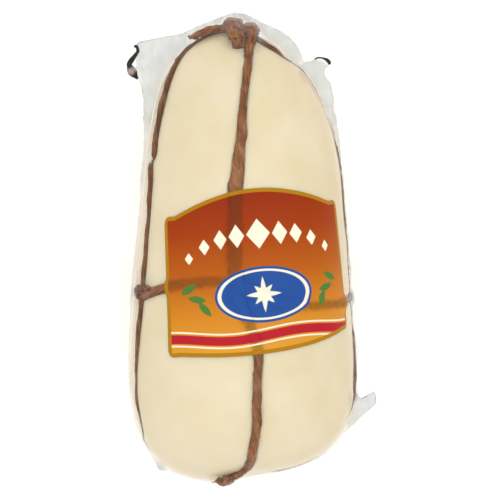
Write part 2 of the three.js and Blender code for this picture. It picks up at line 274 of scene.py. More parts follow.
def curdMaterial():
    # pale cream skin, faintly mottled and waxy, with painted shade making it darker and yellower round the
    # sides, and with light soaking in
    made, tree = newMaterial("stretched curd, salted and dried")
    where = add(tree, "ShaderNodeTexCoord").outputs["Object"]
    cloud = add(tree, "ShaderNodeTexNoise", {"Vector": where, "Scale": perMetre(22.2), "Detail": 4,
                                             "Roughness": 0.55})
    colour = add(tree, "ShaderNodeValToRGB", {0: cloud.outputs[0]},
                 [(0.3, "e0d2ac"), (0.5, "e4d7b6"), (0.72, "e8dcc1")]).outputs[0]
    # painted shade: the sides are coloured darker and yellower the further they turn away from the top
    paintedSideShade = add(tree, "ShaderNodeAttribute", attribute_name="paintedSideShade").outputs["Fac"]
    colour = add(tree, "ShaderNodeMix", {0: paintedSideShade, 6: colour, 7: linear("d5bf92")},
                 data_type="RGBA").outputs[2]
    fine = add(tree, "ShaderNodeTexNoise", {"Vector": where, "Scale": perMetre(2.38), "Detail": 5,
                                            "Roughness": 0.6})
    broad = add(tree, "ShaderNodeTexNoise", {"Vector": where, "Scale": perMetre(14.3), "Detail": 2})
    rough = add(tree, "ShaderNodeBump", {"Strength": 0.12, "Distance": 0.6 * mm, "Height": fine.outputs[0]})
    dents = add(tree, "ShaderNodeBump", {"Strength": 0.25, "Distance": 1.5 * mm, "Height": broad.outputs[0],
                                         "Normal": rough.outputs[0]})
    shader = add(tree, "ShaderNodeBsdfPrincipled", {
        "Base Color": colour, "Roughness": 0.5, "Subsurface Weight": 0.6, "Subsurface Scale": 7 * mm,
        "Subsurface Radius": (1, 0.75, 0.45), "IOR": 1.45, "Specular IOR Level": 0.35,
        "Normal": dents.outputs[0],
    })
    add(tree, "ShaderNodeOutputMaterial", {"Surface": shader.outputs[0]})
    return made


def twineMaterial():
    # brown twisted paper, with streaks of darker and paler fibre along it, and painted shade that darkens
    # the side strands and the folds of the knots;
    # the streaks are drawn coarser than real fibre, so that they show
    made, tree = newMaterial("twisted paper twine")
    fibre = add(tree, "ShaderNodeAttribute", attribute_name="fibre").outputs["Vector"]
    drawn = add(tree, "ShaderNodeMapping", {"Vector": fibre, "Scale": (1, 1, 0.12)})
    streaks = add(tree, "ShaderNodeTexNoise", {"Vector": drawn.outputs[0], "Scale": perMetre(2 / 3),
                                               "Detail": 6, "Roughness": 0.68})
    patches = add(tree, "ShaderNodeTexNoise", {"Vector": fibre, "Scale": perMetre(3.846), "Detail": 3})
    tone = add(tree, "ShaderNodeMath", {0: patches.outputs[0], 1: 0.4, 2: streaks.outputs[0]},
               operation="MULTIPLY_ADD")
    colour = add(tree, "ShaderNodeValToRGB", {0: tone.outputs[0]},
                 [(0.48, "4a2a10"), (0.62, "764524"), (0.74, "915d34"), (0.9, "ae7d4e")]).outputs[0]
    # painted shade: the side strands and the knots' folds are multiplied darker
    paintedShade = add(tree, "ShaderNodeAttribute", attribute_name="paintedShade").outputs["Fac"]
    colour = add(tree, "ShaderNodeMix", {0: paintedShade, 6: colour, 7: linear("a09078")},
                 data_type="RGBA", blend_type="MULTIPLY").outputs[2]
    bump = add(tree, "ShaderNodeBump", {"Strength": 0.7, "Distance": 0.6 * mm,
                                        "Height": streaks.outputs[0]})
    shader = add(tree, "ShaderNodeBsdfPrincipled", {
        "Base Color": colour, "Roughness": 0.85, "Specular IOR Level": 0.2, "Normal": bump.outputs[0],
    })
    add(tree, "ShaderNodeOutputMaterial", {"Surface": shader.outputs[0]})
    return made


def filmMaterial():
    # clear shrink film: unseen where it clings, milky and shiny where air is behind it
    made, tree = newMaterial("clear shrink film")
    where = add(tree, "ShaderNodeTexCoord").outputs["Object"]
    air = add(tree, "ShaderNodeAttribute", attribute_name="air").outputs["Fac"]
    ripple = add(tree, "ShaderNodeTexNoise", {"Vector": where, "Scale": perMetre(7.7), "Detail": 4,
                                              "Roughness": 0.6})
    bump = add(tree, "ShaderNodeBump", {"Strength": 0.25, "Distance": 1.2 * mm,
                                        "Height": ripple.outputs[0]})
    drawn = add(tree, "ShaderNodeMapping", {"Vector": where, "Scale": (1, 0.22, 1)})
    streaks = add(tree, "ShaderNodeTexNoise", {"Vector": drawn.outputs[0], "Scale": perMetre(10 / 3),
                                               "Detail": 3})
    mottle = add(tree, "ShaderNodeMath", {0: streaks.outputs[0], 1: 0.5, 2: ripple.outputs[0]},
                 operation="MULTIPLY_ADD")
    uneven = add(tree, "ShaderNodeMapRange", {0: mottle.outputs[0], 1: 0.5, 2: 1, 3: 0.65, 4: 1.2})
    thick = add(tree, "ShaderNodeMath", {0: uneven.outputs[0], 1: air}, operation="MULTIPLY")
    tint = add(tree, "ShaderNodeMix", {0: thick.outputs[0], 6: linear("fefefe"), 7: linear("e7e9e9")},
               data_type="RGBA")
    clear = add(tree, "ShaderNodeBsdfTransparent", {"Color": tint.outputs[2]})
    milk = add(tree, "ShaderNodeBsdfDiffuse", {"Color": linear("f4f5f2")})
    share = add(tree, "ShaderNodeMath", {0: thick.outputs[0], 1: 0.16}, operation="MULTIPLY")
    body = add(tree, "ShaderNodeMixShader", {0: share.outputs[0], 1: clear.outputs[0], 2: milk.outputs[0]})
    gloss = add(tree, "ShaderNodeBsdfGlossy", {"Color": linear("ffffff"), "Roughness": 0.2,
                                               "Normal": bump.outputs[0]})
    grazing = add(tree, "ShaderNodeFresnel", {"IOR": 1.34, "Normal": bump.outputs[0]})
    facing = add(tree, "ShaderNodeMath", {0: grazing.outputs[0], 1: 0.26}, operation="MINIMUM")
    both = add(tree, "ShaderNodeMixShader", {0: facing.outputs[0], 1: body.outputs[0], 2: gloss.outputs[0]})
    add(tree, "ShaderNodeOutputMaterial", {"Surface": both.outputs[0]})
    return made


def rollMaterial():
    # the rolled tip of an ear, black and shiny, with a painted highlight as a pale patch some way along it
    made, tree = newMaterial("dark heat-sealed film edge")
    where = add(tree, "ShaderNodeTexCoord").outputs["Object"]
    cloud = add(tree, "ShaderNodeTexNoise", {"Vector": where, "Scale": perMetre(1.11), "Detail": 3})
    colour = add(tree, "ShaderNodeValToRGB", {0: cloud.outputs[0]},
                 [(0.35, "0d0b0a"), (0.55, "1c1614"), (0.75, "4a3d36")]).outputs[0]
    fibre = add(tree, "ShaderNodeAttribute", attribute_name="fibre").outputs["Vector"]
    along = add(tree, "ShaderNodeSeparateXYZ", {0: fibre})
    # painted highlight: a pale patch some way along the roll
    rise = add(tree, "ShaderNodeMapRange", {0: along.outputs[2], 1: 11.8 * mm, 2: 13.2 * mm})
    fall = add(tree, "ShaderNodeMapRange", {0: along.outputs[2], 1: 14.2 * mm, 2: 15.6 * mm, 3: 1, 4: 0})
    highlightPatch = add(tree, "ShaderNodeMath", {0: rise.outputs[0], 1: fall.outputs[0]}, operation="MULTIPLY")
    mottledHighlight = add(tree, "ShaderNodeMath", {0: highlightPatch.outputs[0], 1: cloud.outputs[0]}, operation="MULTIPLY")
    colour = add(tree, "ShaderNodeMix", {0: mottledHighlight.outputs[0], 6: colour, 7: linear("d8c6b8")},
                 data_type="RGBA").outputs[2]
    shader = add(tree, "ShaderNodeBsdfPrincipled", {
        "Base Color": colour, "Roughness": 0.4, "Specular IOR Level": 0.3,
    })
    add(tree, "ShaderNodeOutputMaterial", {"Surface": shader.outputs[0]})
    return made


def labelMaterial():
    # printed film: a field that runs from rust to amber, a gold rim, motifs, and a shade over the twine
    made, tree = newMaterial("printed label film")
    up = add(tree, "ShaderNodeAttribute", attribute_name="rise").outputs["Fac"]
    field = [(0, "d69a33"), (0.22, "cf8424"), (0.5, "b35b15"), (0.75, "9e3c10"), (1, "8e2b0c")]
    colour = add(tree, "ShaderNodeValToRGB", {0: up}, field).outputs[0]
    where = add(tree, "ShaderNodeTexCoord").outputs["Object"]
    beneath = add(tree, "ShaderNodeAttribute", attribute_name="beneath").outputs["Fac"]
    grain = add(tree, "ShaderNodeTexNoise", {"Vector": where, "Scale": perMetre(2), "Detail": 2})
    strength = add(tree, "ShaderNodeMapRange", {0: grain.outputs[0], 1: 0.3, 2: 0.7, 3: 0.44, 4: 0.6})
    shade = add(tree, "ShaderNodeMath", {0: beneath, 1: strength.outputs[0]}, operation="MULTIPLY")
    colour = add(tree, "ShaderNodeMix", {0: shade.outputs[0], 6: colour, 7: linear("4c3018")},
                 data_type="RGBA").outputs[2]
    for name, code in (("green", "4f7a34"), ("red", "b3202c"), ("blue", "274f96"), ("cream", "f3ead2"),
                       ("rim", "ac7810")):
        inside = add(tree, "ShaderNodeAttribute", attribute_name=name).outputs["Fac"]
        mask = add(tree, "ShaderNodeMapRange", {0: inside, 1: -0.12, 2: 0.12})
        colour = add(tree, "ShaderNodeMix", {0: mask.outputs[0], 6: colour, 7: linear(code)},
                     data_type="RGBA").outputs[2]
    ripple = add(tree, "ShaderNodeTexNoise", {"Vector": where, "Scale": perMetre(4.55), "Detail": 2})
    bump = add(tree, "ShaderNodeBump", {"Strength": 0.1, "Distance": 0.6 * mm, "Height": ripple.outputs[0]})
    shader = add(tree, "ShaderNodeBsdfPrincipled", {
        "Base Color": colour, "Roughness": 0.4, "Specular IOR Level": 0.07, "Normal": bump.outputs[0],
    })
    add(tree, "ShaderNodeOutputMaterial", {"Surface": shader.outputs[0]})
    return made


def newPiece(name, bm, material, slot, *replaced):
    bmesh.ops.recalc_face_normals(bm, faces=bm.faces)
    mesh = bpy.data.meshes.new(name)
    bm.to_mesh(mesh)
    bm.free()
    mesh.materials.append(material)
    mesh.polygons.foreach_set("use_smooth", [True] * len(mesh.polygons))
    piece = bpy.data.objects.new(name, mesh)
    bpy.context.collection.objects.link(piece)
    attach(piece, "root")
    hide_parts(*replaced)
    return piece


# cheese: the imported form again, fine enough for the twine's grooves and the hand-shaped unevenness
curd = {"rows": 150, "columns": 208, "waistRow": 0.58, "gather": 0.7, "dents": 0.3, "dentSize": 16}
bm = bmesh.new()
paintedSideShade = bm.verts.layers.float.new("paintedSideShade")
bmesh.ops.create_uvsphere(bm, u_segments=curd["columns"], v_segments=curd["rows"], radius=1)
for v in bm.verts:
    turn = (math.atan2(v.co.x, v.co.y) / (2 * pi)) % 1 * 4
    run = math.acos(max(-1, min(1, v.co.z))) / pi
    quarter = int(turn) % 4
    share = turn - int(turn)
    share -= curd["gather"] * math.sin(2 * pi * share) / (2 * pi)
    waist = waistAt(turn * pi / 2)
    if run < curd["waistRow"]:
        t = waist * (1 - math.cos(pi * run / curd["waistRow"])) / 2
    else:
        t = mix(waist, 1, (1 - math.cos(pi * (run - curd["waistRow"]) / (1 - curd["waistRow"]))) / 2)
    start = strandBearing(strandNames[quarter], t)
    end = strandBearing(strandNames[(quarter + 1) % 4], t)
    bearing = mix(start, end + (2 * pi if end < start else 0), share)
    spot = skinPoint(t, bearing)
    dent = curd["dents"] * noise.noise(spot / curd["dentSize"]) * (1 if spot.z > 2 else 0)
    v.co = above(t, bearing, dent - groove(t, bearing))
    # painted shade on the sides, growing as the skin turns away from the top
    v[paintedSideShade] = 1 - ease(skinNormal(t, bearing).z, 0.05, 0.8)
bmesh.ops.remove_doubles(bm, verts=bm.verts, dist=1e-6)
curdPiece = newPiece("cheeseBody", bm, curdMaterial(), "cheese_skin", "cheese")
print("cheese made,", len(curdPiece.data.polygons), "faces")


# twine: a lobed ring drawn out along each route, turning as it goes
cord = {
    "sides": 36, "step": 0.8, "pitch": 42, "lobes": ((3, 0.1), (7, 0.06), (11, 0.06)),
    "fuzz": 0.24, "crease": 1.4, "fullness": 0.85,
    "deep": {"front": 2.6, "right": 2.4, "back": 2.2, "left": 2.6},
    # how much painted shade darkens each strand; the side strands are drawn darker
    "paintedShade": {"front": 0, "right": 0.6, "back": 0.3, "left": 0.5},
    "waist": {"wide": 4.1, "uneven": 0.5, "deep": 2.4, "lifted": 0.4, "start": math.radians(140)},
    # each length of twine has a number of its own, which sets its twist and its streaks
    "seed": {"strand": 0.3, "waist": 7.1, "knot": 11.3, "hitch": 15, "fibre": 31.7},
}


def layTwine(bm, route, wide, high, seed, pitch=cord["pitch"], lobes=cord["lobes"], paintedShade=0):
    # the width and the thickness are lists, one value for each step of the route
    fibre = bm.verts.layers.float_vector["fibre"]
    shadeLayer = bm.verts.layers.float["paintedShade"]
    ring = bmesh.ops.create_circle(bm, segments=cord["sides"], radius=1)["verts"]
    for v in ring:
        a = math.atan2(v.co.y, v.co.x)
        v[fibre] = (math.cos(a) * 1.7 * mm, math.sin(a) * 1.7 * mm, seed)
        v.co *= 1 + sum(size * math.cos(count * a + seed) for count, size in lobes)
    edges = list({e for v in ring for e in v.link_edges})
    ends = [edges]
    last, run = Matrix.Identity(4), 0
    for i, (point, up) in enumerate(route):
        before, after = route[max(i - 1, 0)][0], route[min(i + 1, len(route) - 1)][0]
        run += (point - before).length
        forward = (after - before).normalized()
        across = forward.cross(up).normalized()
        place = Matrix((across, across.cross(forward), forward)).transposed().to_4x4()
        place.translation = point
        place = place @ Matrix.Diagonal((wide[i] / 2 * mm, high[i] / 2 * mm, 1, 1))
        place = place @ Matrix.Rotation(2 * pi * run / (pitch * mm) + seed, 4, "Z")
        if i:
            grown = bmesh.ops.extrude_edge_only(bm, edges=edges)["geom"]
            ring = [g for g in grown if isinstance(g, bmesh.types.BMVert)]
            kept = set(ring)
            edges = [g for g in grown if isinstance(g, bmesh.types.BMEdge) and kept.issuperset(g.verts)]
        bmesh.ops.transform(bm, matrix=place @ last.inverted(), verts=ring)
        for v in ring:
            v[fibre].z = seed + run
            v[shadeLayer] = paintedShade
        last = place
    ends.append(edges)
    for end in ends:
        cap = bmesh.ops.contextual_create(bm, geom=end)["faces"]
        bmesh.ops.poke(bm, faces=cap)


def roughen(bm, crease=0):
    # stray fibre, and folds where the paper is crushed in a knot, their hollows darkened with painted shade
    shadeLayer = bm.verts.layers.float["paintedShade"]
    bm.normal_update()
    for v in bm.verts:
        fuzz = cord["fuzz"] * (noise.noise(v.co * 700) + 0.6 * noise.noise(v.co * 1900))
        crumple = abs(noise.noise(v.co * 420))
        # painted shade in the crumpled hollows, where the fold is pressed in
        v[shadeLayer] = max(v[shadeLayer], min(1, crease) * (1 - ease(crumple, 0, 0.12)))
        v.co += v.normal * mm * (fuzz + crease * (crumple - 0.2))


def resample(points, step):
    # even steps along a smooth line through the given (point, up) pairs
    spots = [p for p, up in points]
    lengths = np.cumsum([0] + [(b - a).length for a, b in zip(spots, spots[1:])])
    count = max(8, int(lengths[-1] / (step * mm)))
    at = np.linspace(0, lengths[-1], count)
    columns = [np.interp(at, lengths, [p[k] for p in spots]) for k in range(3)]
    ups = [np.interp(at, lengths, [up[k] for p, up in points]) for k in range(3)]
    return [(Vector(p), Vector(u).normalized()) for p, u in zip(zip(*columns), zip(*ups))]


def onSkin(places):
    # a smooth line through places given as (t, bearing in degrees, height)
    knots = [(above(t, math.radians(d), h), skinNormal(t, math.radians(d))) for t, d, h in places]
    line = []
    for i in range(len(knots) - 1):
        four = [knots[max(0, min(len(knots) - 1, i + k))] for k in (-1, 0, 1, 2)]
        for j in range(12):
            s = j / 12
            line.append(tuple(0.5 * (2 * q + (r - p) * s + (2 * p - 5 * q + 4 * r - w) * s * s
                                     + (3 * q - p - 3 * r + w) * s ** 3) for p, q, r, w in zip(*four)))
    return line + [knots[-1]]


def newTwine():
    bm = bmesh.new()
    bm.verts.layers.float_vector.new("fibre")
    bm.verts.layers.float.new("paintedShade")
    return bm


def rest(t, bearing, thick):
    # how high the middle of a strand lies over the skin
    return mix(thick / 2 + 0.15 - twine["bite"], -twine["thick"] / 2 - 0.2, sunk(t, bearing))


paper = twineMaterial()
bm = newTwine()
for index, name in enumerate(strandNames):
    stations = []
    for i in range(261):
        t = mix(0.0006, 0.9994, (1 - math.cos(pi * i / 260)) / 2)
        bearing = strandBearing(name, t)
        sway = 0.3 * math.sin(31 * t + index) + 0.15 * math.sin(67 * t + 2 * index)
        bearing += sway / max(8, halfWidth(t))
        deep = min(cord["deep"][name], cord["fullness"] * strandWidth(name, t))
        stations.append((above(t, bearing, rest(t, bearing, deep)), skinNormal(t, bearing)))
    route = resample(stations, cord["step"])
    laid = [strandWidth(name, 0.5 - (point - shift).y / mm / skin["length"]) for point, up in route]
    wide = [width * (1 + 0.07 * math.sin(60 * i / len(laid) + index)) for i, width in enumerate(laid)]
    high = [min(cord["deep"][name], cord["fullness"] * width) for width in laid]
    layTwine(bm, route, wide, high, cord["seed"]["strand"] + index, paintedShade=cord["paintedShade"][name])
roughen(bm)
strandPiece = newPiece("twineStrands", bm, paper, "paper_twine", "twine")

bm = newTwine()
belt = cord["waist"]
stations = []
for i in range(361):
    bearing = 2 * pi * i / 360 + belt["start"]
    t = waistAt(bearing)
    height = rest(t, bearing, belt["deep"]) + belt["lifted"] - tight(bearing)
    stations.append((above(t, bearing, height), skinNormal(t, bearing)))
route = resample(stations, cord["step"])
wide = [belt["wide"] + belt["uneven"] * math.sin(40 * i / len(route)) for i in range(len(route))]
layTwine(bm, route, wide, [belt["deep"]] * len(route), cord["seed"]["waist"])
roughen(bm)
waistPiece = newPiece("twineWaist", bm, paper, "paper_twine", "twine")

# knots: short fat turns of the same twine with frayed ends, and hitches where the waist goes round a strand
knots = (
    # places as (t, degrees, height, width, thickness), the pitch, and how many fibres fray from the far end
    (((0.02, 176, 0.3, 6.5, 4), (0.008, 176, 2.2, 7.4, 4.6), (0.0014, 172, 3.4, 7.8, 5),
      (0.0014, 8, 3.9, 8.2, 5), (0.006, 5, 3.5, 8.2, 5), (0.0165, 5.2, 3.2, 7, 4.8),
      (0.0245, 6.2, 2.7, 6.2, 4.4), (0.0295, 7, 1.2, 5.6, 3.6), (0.0295, 7, -1.5, 5, 3)), 260, 0),
    (((0.017, 150, 0.3, 4.6, 3.6), (0.007, 112, 2.2, 5.4, 4), (0.005, 70, 3, 6, 4.2),
      (0.009, 42, 3.2, 6.6, 4.4), (0.0165, 31, 2.9, 6.4, 4.4), (0.026, 23.8, 2.3, 5.6, 4),
      (0.036, 18.8, 1.3, 4.6, 3.2), (0.048, 15, 0.3, 3.4, 2.6), (0.056, 13, 0, 3, 2)), 220, 0),
    (((0.0035, 30, 2.6, 1.6, 1.6), (0.008, 22, 3.2, 1.9, 2), (0.0165, 16.8, 3.2, 2, 2.2),
      (0.0255, 14.4, 2.4, 1.9, 2), (0.034, 12.6, 1, 1.6, 1.4)), 26, 0),
    (((0.004, 0, 2.2, 3, 2.6), (0.005, -35, 2.6, 3.4, 3), (0.0075, -54, 2.7, 3.6, 3.1),
      (0.0135, -60, 2.8, 3.8, 3.3), (0.0175, -64.5, 2.8, 3.8, 3.4), (0.0205, -69, 2.8, 3.7, 3.2),
      (0.0215, -71, 2.8, 3.4, 2.8)), 34, 14),
    (((0.968, 10.5, 0.4, 3.4, 2.4), (0.975, 6.5, 1.2, 3, 2.4), (0.979, 1, 1.6, 2.5, 2.3),
      (0.982, -3.5, 2.1, 3.8, 3.2), (0.985, -8, 2.4, 5, 4.2), (0.9845, -12, 2.3, 4.6, 3.6),
      (0.982, -15, 1.9, 2.6, 2)), 36, 6),
    # the loop of the left hitch, thrown up round its strand
    (((0.584, -63, 0.9, 3.4, 2.4), (0.581, -66.3, 1.1, 3, 2.2), (0.5745, -67.6, 1.5, 2.6, 2),
      (0.568, -66, 1.7, 2.4, 2), (0.5645, -62, 1.7, 2.3, 1.9), (0.564, -58, 1.4, 2.2, 1.8),
      (0.568, -54, 0.6, 2, 1.6)), 24, 0),
)
knotLobes = ((4, 0.08), (9, 0.04), (14, 0.05))
fray = {"spread": 0.5, "length": (1.4, 2.8), "curl": 0.3, "wide": 0.8, "high": 0.7, "tip": 0.4, "pitch": 8}
hitch = {
    "wide": 2.8, "high": 2, "pitch": 30, "rise": 1.4,
    # how far each reaches round its strand, and how high it sits
    "strands": {"front": (1, 0.2), "right": (0.5, -1.2)},
}
dice = random.Random(4)
bm = newTwine()
for index, (places, pitch, fibres) in enumerate(knots):
    route = resample(onSkin([place[:3] for place in places]), 0.5)
    along = np.linspace(0, len(places) - 1, len(route))
    wide, high = (np.interp(along, range(len(places)), [place[k] for place in places]) for k in (3, 4))
    layTwine(bm, route, wide, high, cord["seed"]["knot"] + index, pitch, knotLobes)
    for i in range(fibres):
        start, up = route[-1 - 2 * (i % 3)]
        away = (route[-1][0] - route[-6][0]).normalized()
        away += fray["spread"] * Vector([dice.uniform(-1, 1) for k in range(3)])
        length = dice.uniform(*fray["length"]) * mm
        curl = Vector([dice.uniform(-fray["curl"], fray["curl"]) for k in range(3)])
        hair = resample([(start + length * k / 6 * (away + curl * k / 6), up) for k in range(7)], 0.4)
        thin = np.linspace(1, fray["tip"], len(hair))
        seed = cord["seed"]["fibre"] + i
        layTwine(bm, hair, fray["wide"] * thin, fray["high"] * thin, seed, fray["pitch"], ())
for name, (reach, sits) in hitch["strands"].items():
    bearing = strandBearing(name, twine["crossing"])
    t = waistAt(bearing)
    for side in (-1, 1):
        places = []
        for i in range(7):
            a = pi * (i / 6 - 0.5)
            along = t + reach * (side * 0.006 + 0.008 * math.sin(a))
            turn = bearing + reach * side * (0.02 + 0.05 * math.sin(a))
            places.append((along, math.degrees(turn), sits + hitch["rise"] * math.cos(a)))
        route = resample(onSkin(places), 0.5)
        wide, high = [hitch["wide"]] * len(route), [hitch["high"]] * len(route)
        layTwine(bm, route, wide, high, cord["seed"]["hitch"] + side + bearing, hitch["pitch"])
roughen(bm, cord["crease"])
knotPiece = newPiece("twineKnots", bm, paper, "paper_twine", "twine")
print("twine made")


# film: a sealed bag drawn on to the cheese, both sheets meeting in a margin with an ear at each corner
bag = {
    "columns": 480, "rows": 180, "rim": math.radians(12), "leave": math.radians(4), "margin": 0.8,
    "cling": 0.2, "pull": 0.35, "slack": 0.03, "over": 14, "crinkle": 0.5, "settling": 160,
    # how milky the gap behind the film is, where it clings and where it hangs clear
    "milk": (0.2, 0.75),
    # where it hangs clear: degrees from a side and t along it, and at the tip t and how far it faces up
    "hangs": {
        "left": ((24, 30), (0.8, 0.9)), "right": ((28, 38), (0.1, 0.2)),
        "tip": ((0.004, 0.012), (0.3, 0.6)),
    },
    # how far the rim stands off the cheese's side at a place round it: 0 at the head, 1 at the foot on +X
    "edge": (
        (-1, 2), (-0.95, 0.6), (-0.91, 0.6), (-0.894, 0.8), (-0.888, 1.4), (-0.879, 3), (-0.868, 3.2),
        (-0.855, 2), (-0.835, 1.3), (-0.8, 0.9), (-0.74, 0.7), (-0.6, 0.8), (-0.555, 1.6), (-0.42, 1.5),
        (-0.39, 2.2), (-0.345, 2), (-0.31, 3), (-0.25, 6.7), (-0.22, 12), (-0.19, 16.4), (-0.174, 17.4),
        (-0.16, 14.1), (-0.147, 11.3), (-0.132, 8.8), (-0.114, 6.6), (-0.092, 5.6), (-0.069, 5.4),
        (-0.041, 5.9), (0, 7.9), (0.02, 8.3), (0.035, 7.8), (0.05, 6.9), (0.075, 6.1), (0.103, 6.3),
        (0.129, 6.1), (0.151, 5.1), (0.167, 3.9), (0.177, 2.4), (0.183, 4.2), (0.187, 6.9), (0.1905, 9.2),
        (0.195, 10.2), (0.2, 10.8), (0.2055, 11.1), (0.209, 10.6), (0.212, 8), (0.216, 6.9), (0.226, 6.6),
        (0.238, 6.8), (0.252, 6.2), (0.272, 4.4), (0.284, 3.7), (0.3, 3.3), (0.32, 2.6), (0.34, 2),
        (0.38, 1), (0.61, 0.9), (0.64, 1.4), (0.7, 1), (0.708, 1.3), (0.715, 2.4), (0.7225, 5),
        (0.729, 6.6), (0.734, 8.8), (0.739, 9.9), (0.745, 10.1), (0.752, 7.7), (0.768, 4), (0.784, 1.5),
        (0.8, 0.9), (0.84, 0.7), (0.96, 0.7), (1, 2),
    ),
    # the lower right ear is bent back: how far round the rim its places are shifted
    "sway": ((-1, 0), (0.7, 0), (0.715, 0), (0.7225, -0.0032), (0.729, -0.02), (0.734, -0.0296),
             (0.739, -0.0246), (0.745, -0.022), (0.752, -0.018), (0.768, -0.0086), (0.784, 0), (1, 0)),
    # where the margin is stretched clear beside a rolled tip: from, to and how deep
    "clear": ((-0.236, -0.19, 0.9), (0.186, 0.211, 1.6)),
    # gathers of the film on the left strand and over the right hitch; their milky white stands partly for a
    # painted highlight on the gathered film
    "gathers": (
        {"t": 0.281, "bearing": math.radians(295.6), "size": 2.4, "height": 1.3, "milk": 3.5},
        {"t": 0.592, "bearing": math.radians(86), "size": 4.5, "height": 0, "milk": 1.8},
    ),
}


def onCheese(rise, at):
    # the place under a point of the bag: rise is its angle above the rim, at its share round the rim
    y = math.cos(rise) * math.cos(pi * at)
    x = math.cos(rise) * math.sin(pi * at)
    return (1 - y) / 2, math.atan2(x, math.sin(rise))


def rimSpot(at, lifted):
    # the bag's rim at a place round it, and how wide the margin is there, in mm
    t, bearing = onCheese(0, at + follow(bag["sway"], at))
    outward = skinNormal(t, bearing, 0)  # the bag spans the press beside the head
    outward.z = 0
    outward.normalize()
    reach = follow(bag["edge"], at)
    crinkle = noise.noise(Vector((70 * at, 0, 3))) + 0.6 * noise.noise(Vector((190 * at, 0, 9)))
    reach = max(reach + bag["crinkle"] * min(1, reach / 4) * crinkle, lifted + bag["margin"])
    return above(t, bearing, 0, 0) + outward * reach * mm, reach - lifted


def surfaceOf(piece):
    # the piece's faces, for finding where a line meets them
    mesh = piece.data
    return BVHTree.FromPolygons([v.co for v in mesh.vertices], [p.vertices for p in mesh.polygons])


contents = [surfaceOf(piece) for piece in (strandPiece, waistPiece, knotPiece)]


def outermost(t, bearing):
    # how high the twine stands above the skin here, in mm, or well below it beside the twine
    up = skinNormal(t, bearing)
    start = above(t, bearing, bag["over"])
    best = -9
    for tree in contents:
        hit, _, _, distance = tree.ray_cast(start, -up, (bag["over"] + 1) * mm)
        if hit:
            best = max(best, bag["over"] - distance / mm)
    return best


def hanging(t, bearing):
    # 1 where the film hangs clear of the cheese
    most = 0
    for name, side in (("left", -pi / 2), ("right", pi / 2)):
        turned, along = bag["hangs"][name]
        away = math.degrees(abs(signedTurn(bearing - side)))
        most = max(most, (1 - ease(away, *turned)) * (1 - ease(t, *along)))
    along, facing = bag["hangs"]["tip"]
    return max(most, (1 - ease(t, *along)) * (1 - ease(math.cos(bearing), *facing)))


def gathered(t, bearing, key):
    # how far the film is lifted, or how milky it is, where it is gathered; that milkiness is partly a
    # painted highlight
    most = 0
    for pinch in bag["gathers"]:
        across = signedTurn(bearing - pinch["bearing"]) * halfWidth(t)
        away = math.hypot((t - pinch["t"]) * skin["length"], across)
        most = max(most, pinch[key] * (1 - ease(away, 0.2 * pinch["size"], pinch["size"])))
    return most


rows, columns = bag["rows"], bag["columns"]
lat = np.linspace(-pi / 2, pi / 2, rows + 1)
inside = np.maximum(0, np.abs(lat) - bag["rim"]) / (pi / 2 - bag["rim"])
rises = np.sign(lat) * inside * (pi / 2 - bag["leave"]) + np.where(lat >= 0, 1, -1) * bag["leave"]
ats = np.array([2 * (j / columns) - 1 for j in range(columns)])
need = np.zeros((rows + 1, columns))
spots = np.zeros((rows + 1, columns, 3))
spanning = np.zeros((rows + 1, columns))
for i, rise in enumerate(rises):
    for j, at in enumerate(ats):
        t, bearing = onCheese(rise, at)
        spots[i, j] = skinPoint(t, bearing)
        need[i, j] = max(outermost(t, bearing), -groove(t, bearing))
        spanning[i, j] = hanging(t, bearing)
        gather = gathered(t, bearing, "height")
        if gather:
            need[i, j] = max(need[i, j], gather)
for axis in (0, 1):
    need = np.maximum(need, np.maximum(np.roll(need, 1, axis), np.roll(need, -1, axis)) - 0.25)
need += bag["cling"]
pull = mix(bag["pull"], bag["slack"], spanning)
# the film sinks between what it rests on: each point falls to its neighbours' mean, less the vacuum's pull
wideStep = np.linalg.norm(np.roll(spots, -1, 1) - spots, axis=2).clip(0.6)
highStep = np.linalg.norm(np.diff(spots, axis=0, append=spots[-1:]), axis=2).clip(0.4)
lift = need.copy()
for i in range(bag["settling"]):
    beside = (np.roll(lift, 1, 1) + np.roll(lift, -1, 1)) / wideStep ** 2
    overUnder = (np.vstack([lift[1:], lift[-1:]]) + np.vstack([lift[:1], lift[:-1]])) / highStep ** 2
    fallen = (beside + overUnder - pull) / (2 / wideStep ** 2 + 2 / highStep ** 2)
    lift = np.maximum(need, fallen)

bm = bmesh.new()
air = bm.verts.layers.float.new("air")
bmesh.ops.create_uvsphere(bm, u_segments=columns, v_segments=rows, radius=1)
for v in bm.verts:
    high = math.asin(max(-1, min(1, v.co.z)))
    at = math.atan2(v.co.x, v.co.y) / pi
    i = round((high / pi + 0.5) * rows)
    j = round((at + 1) / 2 * columns) % columns
    t, bearing = onCheese(rises[i], at)
    spot = above(t, bearing, float(lift[i, j]))
    v[air] = mix(*bag["milk"], spanning[i, j]) * ease(lift[i, j] - need[i, j], 0.02, 0.6)
    # painted highlight: the gathers are made milky white, partly in place of the film's glint
    v[air] = max(v[air], gathered(t, bearing, "milk"))
    share = max(0, 1 - abs(high) / bag["rim"])
    if share:
        rim, wide = rimSpot(at, float(lift[i, j]))
        wave = 0.1 * math.sin(20 * pi * at) + 0.12 * noise.noise(Vector((34 * at, 2 * share, 5)))
        rim.z += mm * wide * wave
        flat = spot.lerp(rim, share)
        flat.z = mix(spot.z, rim.z, share ** 0.6)
        spot = flat
        v[air] = max(v[air], ease(share, 0, 0.1) * mix(0.3, 1, ease(wide, 1, 4)))
        for start, end, deep in bag["clear"]:
            beside = ease(at, start, start + 0.008) * (1 - ease(at, end - 0.008, end))
            v[air] *= 1 - 0.9 * beside * (1 - ease((1 - share) * wide, deep - 0.5, deep + 0.5))
    spot.z = max(spot.z, 0)
    v.co = spot
bmesh.ops.remove_doubles(bm, verts=bm.verts, dist=1e-6)
